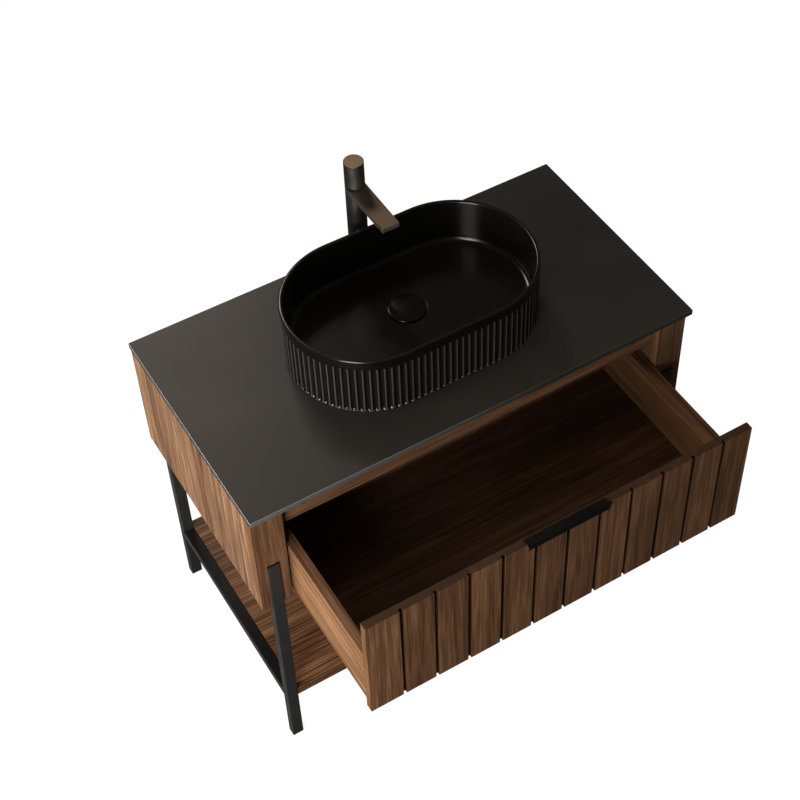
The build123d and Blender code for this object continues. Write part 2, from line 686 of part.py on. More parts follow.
with BuildPart() as drain_nut:
    with BuildSketch(Plane.XY.offset(NUT_LOW_Z)):
        with Locations((0, DRAIN_Y)):
            RegularPolygon(DRAIN_NUT_R, 6)
            Circle(DRAIN_R + THREAD_PLAY, mode=Mode.SUBTRACT)
    extrude(amount=DRAIN_NUT_T)
save(drain_nut, "drain_nut")

with BuildPart() as drain_spider:
    ring(0, DRAIN_Y, (SPIDER_Z, SPIDER_Z + SPIDER_T), DRAIN_BORE_R - SCREW_PLAY, SPIDER_BORE_R)
    with Locations((0, DRAIN_Y, SPIDER_Z)):
        with PolarLocations(0, SPIDER_ARMS):
            Box(SPIDER_ARM_L, SPIDER_ARM_W, SPIDER_T, align=(Align.MIN, Align.CENTER, Align.MIN))
    post(0, DRAIN_Y, (SPIDER_Z, SPIDER_Z + SPIDER_T), SPIDER_HUB_R)
    post(0, DRAIN_Y, (SPIDER_Z, SPIDER_Z + SPIDER_T), STEM_R + RUNNING_PLAY, mode=Mode.SUBTRACT)
save(drain_spider, "drain_spider")

with BuildPart() as tailpiece:
    post(0, DRAIN_Y, (DRAIN_END_Z - TAIL_COLLAR_T, DRAIN_END_Z), DRAIN_R)
    post(0, DRAIN_Y, (TAIL_END_Z, DRAIN_END_Z - TAIL_COLLAR_T), TAIL_R)
    post(0, DRAIN_Y, (TAIL_END_Z, DRAIN_END_Z), TAIL_BORE_R, mode=Mode.SUBTRACT)
save(tailpiece, "tailpiece")

with BuildPart() as popup_cap:
    post(0, DRAIN_Y, (CAP_Z, CAP_Z + CAP_RIM_T), CAP_R)
    with Locations((0, DRAIN_Y, CAP_Z + CAP_RIM_T + CAP_DOME_H - CAP_DOME_R)):
        Sphere(CAP_DOME_R)
    with Locations((0, DRAIN_Y, CAP_Z - CAP_DOME_R)):
        Box(4 * CAP_DOME_R, 4 * CAP_DOME_R, 2 * CAP_DOME_R, mode=Mode.SUBTRACT)
    post(0, DRAIN_Y, (CAP_Z, CAP_Z + CAP_SOCKET_H), STEM_R + SCREW_PLAY, mode=Mode.SUBTRACT)
save(popup_cap, "popup_cap")

with BuildPart() as popup_stem:
    post(0, DRAIN_Y, (STEM_STOP_Z - STEM_TIP, CAP_Z + CAP_SOCKET_H - PLAY), STEM_R)
    post(0, DRAIN_Y, (STEM_STOP_Z - STEM_CLIP_T, STEM_STOP_Z), STEM_CLIP_R)
save(popup_stem, "popup_stem")

with BuildPart() as popup_seal:
    ring(0, DRAIN_Y, (CAP_Z - SEAL_T, CAP_Z), SEAL_R, SEAL_BORE_R)
save(popup_seal, "popup_seal")

# ---------------------------------------------------------------- mixer
SPOUT_TOP_Z = TOP_Z + SPOUT_TOP_H
SPOUT_LOW_Z = SPOUT_TOP_Z - SPOUT_T
SPOUT_WALL = 2.0
SPOUT_SIDE_WALL = 3.5
SPOUT_END_WALL = 5.0
SPOUT_CORNER_R = 2.0
Y_SPOUT = TAP_Y - SPOUT_REACH
TAP_CHAMFER = 0.5
TAP_GASKET_T = 1.5
TAP_FLOOR_T = 10.0
AERATOR_R = 9.0
AERATOR_WALL = 1.2
AERATOR_OUT = 0.8
AERATOR_BAR_W = 1.0
AERATOR_BAR_H = 1.5
AERATOR_PITCH = 3.2
AERATOR_BACK = 17.0
Y_AERATOR = Y_SPOUT + AERATOR_BACK
CARTRIDGE_R = 16.0
CARTRIDGE_L = 38.0
CARTRIDGE_WELL = 8.0
CARTRIDGE_TOP_Z = SPOUT_TOP_Z - 3.0
PIVOT_Z = TOP_Z + PIVOT_H
YOKE_R = 9.0
YOKE_SLOT_L = 11.0
YOKE_SLOT_DOWN = 8.0
YOKE_LOW_Z = CARTRIDGE_TOP_Z - CARTRIDGE_WELL + PLAY
YOKE_TOP_Z = SPOUT_TOP_Z + 7.0
NUT_TOP_Z = SPOUT_TOP_Z + 6.0
NUT_SLACK = 1.0
PIN_R = 1.5
PIN_SHORT = 0.5
STEM_W = 8.0
STEM_LOW_Z = PIVOT_Z - 6.0
STEM_TOP_Z = PIVOT_Z + 40.0
HANDLE_LOW_Z = SPOUT_TOP_Z + HANDLE_GAP
HANDLE_TOP_Z = TOP_Z + HANDLE_TOP_H
HANDLE_LOW_FILLET = 2.9
HANDLE_WALL = 3.0
HANDLE_ROOF_Z = HANDLE_TOP_Z - 4.0
BOSS_R = 8.5
BOSS_Z = PIVOT_Z + 24.0
SET_SCREW_R = 2.5
SET_SCREW_Z = BOSS_Z + 8.0
Y_SET_SCREW_OUT = TAP_Y + 11.0
SHANK_TOP_Z = TOP_Z + TAP_GASKET_T + TAP_FLOOR_T
SHANK_LOW_Z = TOP_Z - 52.0
INLET_X = 6.5
WASHER_R = 24.0
WASHER_T = 3.0
TAP_NUT_R = 21.0
TAP_NUT_T = 10.0

with BuildPart() as tap_gasket:
    ring(0, TAP_Y, (TOP_Z, TOP_Z + TAP_GASKET_T), TAP_R, SHANK_R + PLAY)
save(tap_gasket, "tap_gasket")

with BuildPart() as tap_body:
    post(0, TAP_Y, (TOP_Z + TAP_GASKET_T, SPOUT_LOW_Z), TAP_R)
    chamfer(tap_body.faces().sort_by(Axis.Z)[0].edges(), TAP_CHAMFER)
    post(0, TAP_Y, (SHANK_TOP_Z, SPOUT_LOW_Z), TAP_BORE_R, mode=Mode.SUBTRACT)
    post(0, TAP_Y, (TOP_Z + TAP_GASKET_T, SHANK_TOP_Z), SHANK_R + SCREW_PLAY, mode=Mode.SUBTRACT)
save(tap_body, "tap_body")

with BuildPart() as tap_spout:
    with BuildSketch(Plane.XY.offset(SPOUT_LOW_Z)):
        Polygon(
            (-TAP_R, TAP_Y), (-SPOUT_W / 2, Y_SPOUT), (SPOUT_W / 2, Y_SPOUT), (TAP_R, TAP_Y), align=None
        )
    extrude(amount=SPOUT_T)
    fillet(tap_spout.edges().filter_by(Axis.Z).group_by(Axis.Y)[0], SPOUT_CORNER_R)
    post(0, TAP_Y, (SPOUT_LOW_Z, SPOUT_TOP_Z), TAP_R)
    chamfer(tap_spout.faces().sort_by(Axis.Z)[-1].edges(), TAP_CHAMFER)
    block(
        (SPOUT_SIDE_WALL - SPOUT_W / 2, SPOUT_W / 2 - SPOUT_SIDE_WALL),
        (Y_SPOUT + SPOUT_END_WALL, TAP_Y),
        (SPOUT_LOW_Z + SPOUT_WALL, SPOUT_TOP_Z - SPOUT_WALL),
        mode=Mode.SUBTRACT,
    )
    post(0, TAP_Y, (SPOUT_LOW_Z, SPOUT_TOP_Z), CARTRIDGE_R + THREAD_PLAY, mode=Mode.SUBTRACT)
    post(
        0, Y_AERATOR, (SPOUT_LOW_Z, SPOUT_LOW_Z + SPOUT_WALL), AERATOR_R + SCREW_PLAY,
        mode=Mode.SUBTRACT,
    )
save(tap_spout, "tap_spout")

with BuildPart() as aerator:
    ring(
        0, Y_AERATOR, (SPOUT_LOW_Z - AERATOR_OUT, SPOUT_LOW_Z + SPOUT_WALL), AERATOR_R,
        AERATOR_R - AERATOR_WALL,
    )
    for i in range(-2, 3):
        middle = i * AERATOR_PITCH
        reach = (AERATOR_R**2 - middle**2) ** 0.5 - AERATOR_WALL / 2
        with Locations((0, Y_AERATOR + middle, SPOUT_LOW_Z + AERATOR_BAR_H / 2)):
            Box(2 * reach, AERATOR_BAR_W, AERATOR_BAR_H)
        with Locations((middle, Y_AERATOR, SPOUT_LOW_Z + AERATOR_BAR_H / 2)):
            Box(AERATOR_BAR_W, 2 * reach, AERATOR_BAR_H)
save(aerator, "aerator")

with BuildPart() as cartridge:
    post(0, TAP_Y, (CARTRIDGE_TOP_Z - CARTRIDGE_L, CARTRIDGE_TOP_Z), CARTRIDGE_R)
    post(
        0, TAP_Y, (CARTRIDGE_TOP_Z - CARTRIDGE_WELL, CARTRIDGE_TOP_Z), YOKE_R + PLAY,
        mode=Mode.SUBTRACT,
    )
save(cartridge, "cartridge")

with BuildPart() as cartridge_nut:
    ring(0, TAP_Y, (CARTRIDGE_TOP_Z, NUT_TOP_Z), CARTRIDGE_R - PLAY, YOKE_R + NUT_SLACK)
save(cartridge_nut, "cartridge_nut")

with BuildPart() as cartridge_yoke:
    post(0, TAP_Y, (YOKE_LOW_Z, YOKE_TOP_Z), YOKE_R)
    block(
        (-STEM_W / 2 - PLAY, STEM_W / 2 + PLAY), (TAP_Y - YOKE_SLOT_L / 2, TAP_Y + YOKE_SLOT_L / 2),
        (PIVOT_Z - YOKE_SLOT_DOWN, YOKE_TOP_Z),
        mode=Mode.SUBTRACT,
    )
    rod_x((-YOKE_R, YOKE_R), TAP_Y, PIVOT_Z, PIN_R + RUNNING_PLAY, mode=Mode.SUBTRACT)
save(cartridge_yoke, "cartridge_yoke")

with BuildPart() as handle_stem:
    block((-STEM_W / 2, STEM_W / 2), (TAP_Y - STEM_W / 2, TAP_Y + STEM_W / 2), (STEM_LOW_Z, STEM_TOP_Z))
    rod_x((PIN_SHORT - YOKE_R, YOKE_R - PIN_SHORT), TAP_Y, PIVOT_Z, PIN_R)
save(handle_stem, "handle_stem")

with BuildPart() as handle_shell:
    post(0, TAP_Y, (HANDLE_LOW_Z, HANDLE_TOP_Z), TAP_R)
    fillet(handle_shell.faces().sort_by(Axis.Z)[0].edges(), HANDLE_LOW_FILLET)
    chamfer(handle_shell.faces().sort_by(Axis.Z)[-1].edges(), TAP_CHAMFER)
    post(0, TAP_Y, (HANDLE_LOW_Z, HANDLE_ROOF_Z), TAP_R - HANDLE_WALL, mode=Mode.SUBTRACT)
    post(0, TAP_Y, (BOSS_Z, HANDLE_ROOF_Z), BOSS_R)
    block(
        (-STEM_W / 2 - SCREW_PLAY, STEM_W / 2 + SCREW_PLAY),
        (TAP_Y - STEM_W / 2 - SCREW_PLAY, TAP_Y + STEM_W / 2 + SCREW_PLAY),
        (BOSS_Z, STEM_TOP_Z + SCREW_PLAY),
        mode=Mode.SUBTRACT,
    )
    rod_y(0, (TAP_Y, TAP_Y + TAP_R), SET_SCREW_Z, SET_SCREW_R + SCREW_PLAY, mode=Mode.SUBTRACT)
save(handle_shell, "handle_shell")

with BuildPart() as handle_set_screw:
    rod_y(0, (TAP_Y + STEM_W / 2 + THREAD_PLAY, Y_SET_SCREW_OUT), SET_SCREW_Z, SET_SCREW_R)
save(handle_set_screw, "handle_set_screw")

with BuildPart() as tap_shank:
    post(0, TAP_Y, (SHANK_LOW_Z, SHANK_TOP_Z), SHANK_R)
    for x in (-INLET_X, INLET_X):
        post(x, TAP_Y, (SHANK_LOW_Z, SHANK_TOP_Z), INLET_R, mode=Mode.SUBTRACT)
save(tap_shank, "tap_shank")

with BuildPart() as tap_washer:
    ring(0, TAP_Y, (SLAB_LOW_Z - WASHER_T, SLAB_LOW_Z), WASHER_R, SHANK_R + THREAD_PLAY)
save(tap_washer, "tap_washer")

with BuildPart() as tap_nut:
    with BuildSketch(Plane.XY.offset(SLAB_LOW_Z - WASHER_T - TAP_NUT_T)):
        with Locations((0, TAP_Y)):
            RegularPolygon(TAP_NUT_R, 6)
            Circle(SHANK_R + THREAD_PLAY, mode=Mode.SUBTRACT)
    extrude(amount=TAP_NUT_T)
save(tap_nut, "tap_nut")
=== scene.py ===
from math import atan2, cos, pi, radians, sin, sqrt

import bmesh
import bpy
from mathutils import Matrix, Vector


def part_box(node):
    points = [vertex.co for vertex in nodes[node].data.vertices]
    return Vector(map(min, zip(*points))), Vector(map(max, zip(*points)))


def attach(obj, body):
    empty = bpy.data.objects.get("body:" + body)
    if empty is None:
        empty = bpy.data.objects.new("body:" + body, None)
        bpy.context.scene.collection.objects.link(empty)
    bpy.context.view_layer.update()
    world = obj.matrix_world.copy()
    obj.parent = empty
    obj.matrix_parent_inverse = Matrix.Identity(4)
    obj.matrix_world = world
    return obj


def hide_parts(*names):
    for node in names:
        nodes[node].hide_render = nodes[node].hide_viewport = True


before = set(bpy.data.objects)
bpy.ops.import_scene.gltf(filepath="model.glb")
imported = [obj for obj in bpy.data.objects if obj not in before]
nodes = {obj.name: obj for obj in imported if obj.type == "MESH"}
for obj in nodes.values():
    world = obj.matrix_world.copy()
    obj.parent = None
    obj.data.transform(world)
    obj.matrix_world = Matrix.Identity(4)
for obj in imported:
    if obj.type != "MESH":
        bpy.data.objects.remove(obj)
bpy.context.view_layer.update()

# ---------------------------------------------------------------- camera
# Fitted to the straight edges in the photo: metres, in the row frame.
CAMERA_AT = Vector((-1.1163, -1.8254, 3.1930))
CAMERA_AZIMUTH = radians(-31.02)
CAMERA_DOWN = radians(47.86)
CAMERA_ROLL = radians(-0.94)
CAMERA_REACH = 50.0
SENSOR_MM = 36.0
LENS_MM = 74.81
SHIFT = (-0.0549, -0.0548)


def make_camera():
    """The photo's camera."""
    data = bpy.data.cameras.new("camera")
    data.sensor_width = SENSOR_MM
    data.lens = LENS_MM
    data.shift_x, data.shift_y = SHIFT
    data.clip_end = CAMERA_REACH
    camera = bpy.data.objects.new("camera", data)
    bpy.context.scene.collection.objects.link(camera)
    forward = Vector((
        -sin(CAMERA_AZIMUTH) * cos(CAMERA_DOWN),
        cos(CAMERA_AZIMUTH) * cos(CAMERA_DOWN),
        -sin(CAMERA_DOWN),
    ))
    painted_top_shading = Vector((cos(CAMERA_AZIMUTH), sin(CAMERA_AZIMUTH), 0.0))
    upward = painted_top_shading.cross(forward)
    right = cos(CAMERA_ROLL) * painted_top_shading + sin(CAMERA_ROLL) * upward
    up = -sin(CAMERA_ROLL) * painted_top_shading + cos(CAMERA_ROLL) * upward
    turn = Matrix((right, up, -forward)).transposed()
    camera.matrix_world = Matrix.Translation(CAMERA_AT) @ turn.to_4x4()
    bpy.context.scene.camera = camera


make_camera()


# ---------------------------------------------------------------- material graphs
class Graph:
    """A material's node graph, written a node at a time."""

    def __init__(self, name):
        self.material = bpy.data.materials.new(name)
        self.material.use_nodes = True
        self.tree = self.material.node_tree
        self.tree.nodes.clear()
        self.surface = self.node("ShaderNodeBsdfPrincipled")
        output = self.node("ShaderNodeOutputMaterial")
        self.tree.links.new(self.surface.outputs[0], output.inputs[0])
        self.place = self.node("ShaderNodeTexCoord")

    def node(self, kind, **settings):
        made = self.tree.nodes.new(kind)
        for key, value in settings.items():
            setattr(made, key, value)
        return made

    def feed(self, socket, value):
        """Links an output, or sets a constant."""
        if isinstance(value, bpy.types.NodeSocket):
            self.tree.links.new(value, socket)
        else:
            socket.default_value = value

    def sum(self, operation, a, b=0.0, c=0.0):
        made = self.node("ShaderNodeMath", operation=operation)
        for socket, value in zip(made.inputs, (a, b, c)):
            self.feed(socket, value)
        return made.outputs[0]

    def vary(self, value, amount, base):
        """The base, raised or lowered by how far a 0..1 value is from its middle."""
        return self.sum("MULTIPLY_ADD", self.sum("SUBTRACT", value, 0.5), amount, base)

    def split(self, vector):
        made = self.node("ShaderNodeSeparateXYZ")
        self.feed(made.inputs[0], vector)
        return made.outputs

    def join(self, x, y, z):
        made = self.node("ShaderNodeCombineXYZ")
        for socket, value in zip(made.inputs, (x, y, z)):
            self.feed(socket, value)
        return made.outputs[0]

    def facing(self, axis):
        """How squarely the surface faces along an axis of the piece, either way: 0..1."""
        normal = dict(zip("XYZ", self.split(self.place.outputs["Normal"])))
        return self.sum("ABSOLUTE", normal[axis])

    def stretch(self, vector, scale):
        made = self.node("ShaderNodeMapping")
        self.feed(made.inputs["Vector"], vector)
        made.inputs["Scale"].default_value = scale
        return made.outputs[0]

    def noise(self, vector, scale, detail=2.0, roughness=0.5, distortion=0.0):
        made = self.node("ShaderNodeTexNoise")
        self.feed(made.inputs["Vector"], vector)
        made.inputs["Scale"].default_value = scale
        made.inputs["Detail"].default_value = detail
        made.inputs["Roughness"].default_value = roughness
        made.inputs["Distortion"].default_value = distortion
        return made.outputs[0]

    def ramp(self, value, *stops):
        """A colour ramp; each stop is (position, (r, g, b))."""
        made = self.node("ShaderNodeValToRGB")
        self.feed(made.inputs[0], value)
        elements = made.color_ramp.elements
        while len(elements) < len(stops):
            elements.new(0.5)
        for element, (position, colour) in zip(elements, stops):
            element.position = position
            element.color = (*colour, 1.0)
        return made.outputs[0]

    def between(self, value, low, high, to_low=0.0, to_high=1.0):
        """Maps low..high to to_low..to_high, clamped."""
        made = self.node("ShaderNodeMapRange")
        for socket, number in zip(made.inputs, (value, low, high, to_low, to_high)):
            self.feed(socket, number)
        return made.outputs[0]

    def blend(self, amount, a, b):
        made = self.node("ShaderNodeMix", data_type="RGBA")
        self.feed(made.inputs[0], amount)
        self.feed(made.inputs[6], a if isinstance(a, bpy.types.NodeSocket) else (*a, 1.0))
        self.feed(made.inputs[7], b if isinstance(b, bpy.types.NodeSocket) else (*b, 1.0))
        return made.outputs[2]

    def bump(self, height, strength, distance):
        made = self.node("ShaderNodeBump")
        made.inputs["Strength"].default_value = strength
        made.inputs["Distance"].default_value = distance
        self.feed(made.inputs["Height"], height)
        self.feed(self.surface.inputs["Normal"], made.outputs[0])

    def set(self, **values):
        """Sets the shader's inputs; an underscore stands for a space."""
        for key, value in values.items():
            self.feed(self.surface.inputs[key.replace("_", " ")], value)
        return self.material


def grey(value):
    return (value, value, value)


def scaled(colour, factor):
    return tuple(c * factor for c in colour)


# Where a 0..1 noise mostly lies, and how squarely a surface has to face up to count as a level top
NOISE_LOW, NOISE_HIGH = 0.3, 0.7
LEVEL_FROM, LEVEL_TO = 0.75, 0.95

# ---------------------------------------------------------------- walnut
WALNUT_DARK = (0.044, 0.021, 0.0105)
WALNUT_MID = (0.142, 0.068, 0.033)
WALNUT_LIGHT = (0.290, 0.152, 0.078)
SHADE_DARK, SHADE_MID, SHADE_LIGHT = 0.12, 0.50, 0.86
WALNUT_SPECULAR = 0.18
WALNUT_GLOSS = (0.40, 0.50)
PORE_ROUGHNESS = 0.15
END_GRAIN = 0.80
END_FROM, END_TO = 0.60, 0.90

# Layers of grain: cycles a metre across and along it, detail, roughness
WANDER_LAYER = (9.0, 2.2, 3.0, 0.55)
RIPPLE_LAYER = (60.0, 5.0, 2.0, 0.6)
FIBRE_LAYER = (420.0, 9.0, 4.0, 0.62)
STREAK_LAYER = (70.0, 2.6, 3.0, 0.6)
THREAD_LAYER = (230.0, 3.4, 2.0, 0.55)
CLOUD_LAYER = (11.0, 3.0, 2.0, 0.5)
PORE_LAYER = (1300.0, 42.0, 2.0, 0.5)
PORE_FROM, PORE_TO = 0.58, 0.72

# How much each layer lightens or darkens the wood
BAND_WEIGHT = 0.085
FIBRE_WEIGHT = 0.95
STREAK_WEIGHT = 0.75
CLOUD_WEIGHT = 0.45
PORE_WEIGHT = -0.17

# Cathedral figure, in metres: ring spacing, how far the rings wander, and where their peaks fall
RING_PITCH = 0.0065
RING_WANDER = 0.016
RING_RIPPLE = 5.0
PEAK_SIDEWAYS = 0.9
PEAK_ALONG = 0.5
RING_SLANT = 0.045
RING_START = 0.004
LEAF_CHANCE = 0.37
LEAF_DRIFT = 7.0
FIBRE_IN_RELIEF = 0.35
GRAIN_BUMP = (0.25, 0.0002)


def walnut(
    name, along, across, leaf=0.30, start=0.0, seed=0.0, tone=1.0, spread=0.16, figure=1.0,
    tint=(1.0, 1.0, 1.0), stripe=0.6,
):
    """Satin walnut. along and across are axis letters; each leaf of veneer or slat has its own tone and figure."""
    g = Graph(name)
    axes = dict(zip("XYZ", g.split(g.place.outputs["Object"])))
    through = next(letter for letter in "XYZ" if letter not in (along, across))
    length = axes[along]
    steps = g.sum("DIVIDE", g.sum("SUBTRACT", axes[across], start), leaf)
    index = g.sum("FLOOR", steps)
    chance = g.node("ShaderNodeTexWhiteNoise", noise_dimensions="1D")
    g.feed(chance.inputs["W"], g.sum("ADD", index, seed + LEAF_CHANCE))
    r_tone, r_peak, r_side = g.split(chance.outputs["Color"])
    in_leaf = g.sum("MULTIPLY", g.sum("SUBTRACT", g.sum("SUBTRACT", steps, index), 0.5), leaf)
    drift = g.sum("MULTIPLY_ADD", chance.outputs["Value"], LEAF_DRIFT, seed)
    grain_place = g.join(axes[across], g.sum("ADD", axes[through], drift), length)

    def layer(wide, long, detail, roughness):
        return g.noise(g.stretch(grain_place, (wide, wide, long)), 1.0, detail, roughness)

    # cathedral figure: rings cut at a slant, wandering a little
    side = g.vary(r_side, leaf * PEAK_SIDEWAYS, in_leaf)
    side = g.vary(layer(*WANDER_LAYER), RING_WANDER, side)
    rise = g.sum("MULTIPLY_ADD", g.vary(r_peak, PEAK_ALONG, length), RING_SLANT, RING_START)
    rings = g.sum("SQRT", g.sum("ADD", g.sum("MULTIPLY", side, side), g.sum("MULTIPLY", rise, rise)))
    ripple = g.sum("MULTIPLY", layer(*RIPPLE_LAYER), RING_RIPPLE)
    phase = g.sum("MULTIPLY_ADD", rings, 2 * pi / RING_PITCH, ripple)
    band = g.sum("MULTIPLY_ADD", g.sum("SINE", phase), 0.5, 0.5)

    fibre = layer(*FIBRE_LAYER)
    pores = g.between(layer(*PORE_LAYER), PORE_FROM, PORE_TO)
    shade = g.vary(band, BAND_WEIGHT * figure, 0.5)
    shade = g.vary(fibre, FIBRE_WEIGHT, shade)
    shade = g.vary(layer(*STREAK_LAYER), STREAK_WEIGHT, shade)
    shade = g.vary(layer(*THREAD_LAYER), stripe, shade)
    shade = g.vary(layer(*CLOUD_LAYER), CLOUD_WEIGHT, shade)
    shade = g.vary(r_tone, spread, shade)
    shade = g.sum("MULTIPLY_ADD", pores, PORE_WEIGHT, shade)
    stops = ((SHADE_DARK, WALNUT_DARK), (SHADE_MID, WALNUT_MID), (SHADE_LIGHT, WALNUT_LIGHT))
    colour = g.ramp(shade, *((at, tuple(c * tone * t for c, t in zip(wood, tint))) for at, wood in stops))
    end_grain = g.between(g.facing(along), END_FROM, END_TO)
    colour = g.blend(g.sum("MULTIPLY", end_grain, END_GRAIN), colour, WALNUT_DARK)
    gloss = g.between(fibre, NOISE_LOW, NOISE_HIGH, *WALNUT_GLOSS)
    gloss = g.sum("MULTIPLY_ADD", pores, PORE_ROUGHNESS, gloss)
    g.bump(g.sum("SUBTRACT", g.sum("MULTIPLY", fibre, FIBRE_IN_RELIEF), pores), *GRAIN_BUMP)
    return g.set(Base_Color=colour, Roughness=gloss, Specular_IOR_Level=WALNUT_SPECULAR)


# ---------------------------------------------------------------- other materials
STONE_SKIN = ((0.0290, 0.0255, 0.0205), (0.0365, 0.0322, 0.0260), (0.0440, 0.0390, 0.0315))
STONE_SIDE = ((0.027, 0.027, 0.024), (0.040, 0.040, 0.035))
# The front face and arrises carry a painted highlight. It is bright at the left and fades to plain stone at the
# right.
STONE_FRONT_HIGHLIGHT = ((0.115, 0.115, 0.108), (0.024, 0.023, 0.020))
STONE_ARRIS_HIGHLIGHT = ((0.22, 0.22, 0.21), (0.050, 0.048, 0.044))
MOTTLE_DARK, MOTTLE_MID, MOTTLE_LIGHT = 0.25, 0.55, 0.80
HIGHLIGHT_FROM, HIGHLIGHT_TO = -0.45, 0.15  # along X, in metres: the painted highlight on the front face and arrises is brightest at the left


def stone_top():
    """Black sintered stone: a fine matt skin on top, plain sawn sides, and a painted highlight on the front face
    and arrises that is brightest at the left.
    """
    g = Graph("black stone")
    place = g.place.outputs["Object"]
    cloud = g.noise(place, scale=5.0, detail=4.0, roughness=0.6, distortion=0.4)
    speck = g.noise(place, scale=1400.0, detail=2.0, roughness=0.7)
    mottle = g.vary(speck, 0.5, cloud)
    skin = g.ramp(mottle, *zip((MOTTLE_DARK, MOTTLE_MID, MOTTLE_LIGHT), STONE_SKIN))
    side_face = g.ramp(mottle, *zip((MOTTLE_DARK, MOTTLE_LIGHT), STONE_SIDE))
    # painted highlight on the front face and arrises, fading from the left
    highlight_fade = g.between(g.split(place)[0], HIGHLIGHT_FROM, HIGHLIGHT_TO)
    front_highlight = g.ramp(highlight_fade, *zip((0.0, 1.0), STONE_FRONT_HIGHLIGHT))
    arris_highlight = g.ramp(highlight_fade, *zip((0.0, 1.0), STONE_ARRIS_HIGHLIGHT))
    upright = g.facing("Z")
    sawn = g.blend(g.between(g.facing("Y"), 0.60, 0.80), side_face, front_highlight)
    sawn = g.blend(g.between(upright, 0.30, 0.50), sawn, arris_highlight)
    grit = g.noise(place, scale=900.0, detail=3.0, roughness=0.6)
    g.bump(grit, strength=0.12, distance=0.0002)
    return g.set(
        Base_Color=g.blend(g.between(upright, 0.85, 0.97), sawn, skin),
        Roughness=g.between(cloud, NOISE_LOW, NOISE_HIGH, 0.41, 0.47),
        Specular_IOR_Level=0.40,
    )


# Painted highlight: the ridges between the flutes are made paler, standing in for the floor's reflection in them.
RIDGE_HIGHLIGHT = "ridge_highlight"
RIDGE_HIGHLIGHT_SHARE = 0.8
GLAZE_RIDGE_HIGHLIGHT = (0.058, 0.058, 0.055)
# painted light: level faces of the glaze are paler and browner, standing in for warm light from above
GLAZE_LEVEL_LIGHT = (0.0145, 0.0102, 0.0068)
GLAZE_DARK = (0.0030, 0.0028, 0.0026)
GLAZE_LIGHT = (0.0042, 0.0039, 0.0035)


def glaze():
    """Satin black glaze with faint orange peel. The ridges between the flutes get a painted highlight, and level
    faces get painted warm light that makes them paler and browner.
    """
    g = Graph("black glaze")
    place = g.place.outputs["Object"]
    peel = g.noise(place, scale=110.0, detail=2.0, roughness=0.4)
    cloud = g.noise(place, scale=7.0, detail=3.0, roughness=0.5)
    colour = g.ramp(cloud, (NOISE_LOW, GLAZE_DARK), (NOISE_HIGH, GLAZE_LIGHT))
    # painted highlight on the ridges between the flutes
    ridge_highlight = g.node("ShaderNodeAttribute", attribute_name=RIDGE_HIGHLIGHT).outputs["Fac"]
    colour = g.blend(g.sum("MULTIPLY", ridge_highlight, RIDGE_HIGHLIGHT_SHARE), colour, GLAZE_RIDGE_HIGHLIGHT)
    # painted warm light on level faces
    colour = g.blend(g.between(g.facing("Z"), 0.70, 0.95), colour, GLAZE_LEVEL_LIGHT)
    g.bump(peel, strength=0.05, distance=0.0004)
    return g.set(Base_Color=colour, Roughness=g.between(peel, NOISE_LOW, NOISE_HIGH, 0.18, 0.22))


def coat(name, colour, roughness, texture=900.0, depth=0.15, specular=0.5, painted_top_shading=1.0):
    """Powder coat or paint over metal, finely textured. Its colour on flat tops is scaled by the top-shading
    factor, which paints shade onto level tops.
    """
    g = Graph(name)
    place = g.place.outputs["Object"]
    pebble = g.noise(place, scale=texture, detail=2.0, roughness=0.5)
    cloud = g.noise(place, scale=14.0, detail=3.0, roughness=0.6)
    shade = g.ramp(cloud, (NOISE_LOW, scaled(colour, 0.8)), (NOISE_HIGH, scaled(colour, 1.25)))
    upright = g.between(g.facing("Z"), LEVEL_FROM, LEVEL_TO)
    g.bump(pebble, strength=depth, distance=0.0003)
    # flat tops take the painted top shading
    return g.set(
        Base_Color=g.blend(upright, shade, scaled(colour, painted_top_shading)),
        Roughness=g.between(cloud, NOISE_LOW, NOISE_HIGH, roughness - 0.04, roughness + 0.05),
        Specular_IOR_Level=specular,
    )


def metal(name, colour, roughness, stretch, brush=0.12, depth=0.1, painted_top_shading=None):
    """Brushed or turned metal: scratches drawn out along the stretch's smallest axis. A given top colour is put on
    flat tops as a painted reflection of warm light.
    """
    g = Graph(name)
    place = g.place.outputs["Object"]
    scratch = g.noise(g.stretch(place, stretch), scale=1.0, detail=3.0, roughness=0.65)
    cloud = g.noise(place, scale=22.0, detail=3.0, roughness=0.6)
    mixed = g.vary(scratch, 0.6, cloud)
    shade = g.ramp(mixed, (NOISE_LOW, scaled(colour, 0.82)), (NOISE_HIGH, scaled(colour, 1.15)))
    # painted reflection: flat tops take a warmer colour, standing in for warm light reflected from above
    if painted_top_shading:
        painted_top_reflection = g.ramp(mixed, (NOISE_LOW, scaled(painted_top_shading, 0.88)), (NOISE_HIGH, scaled(painted_top_shading, 1.12)))
        shade = g.blend(g.between(g.facing("Z"), LEVEL_FROM, LEVEL_TO), shade, painted_top_reflection)
    g.bump(scratch, strength=depth, distance=0.0001)
    return g.set(
        Base_Color=shade,
        Metallic=1.0,
        Roughness=g.between(mixed, 0.25, 0.75, roughness - brush / 2, roughness + brush / 2),
    )


def moulded(name, colour, roughness):
    """Moulded plastic or rubber."""
    g = Graph(name)
    place = g.place.outputs["Object"]
    grain = g.noise(place, scale=1100.0, detail=2.0, roughness=0.5)
    cloud = g.noise(place, scale=18.0, detail=2.0, roughness=0.5)
    g.bump(grain, strength=0.12, distance=0.0002)
    return g.set(
        Base_Color=g.ramp(cloud, (NOISE_LOW, scaled(colour, 0.85)), (NOISE_HIGH, scaled(colour, 1.12))),
        Roughness=g.between(grain, NOISE_LOW, NOISE_HIGH, roughness - 0.04, roughness + 0.06),
    )


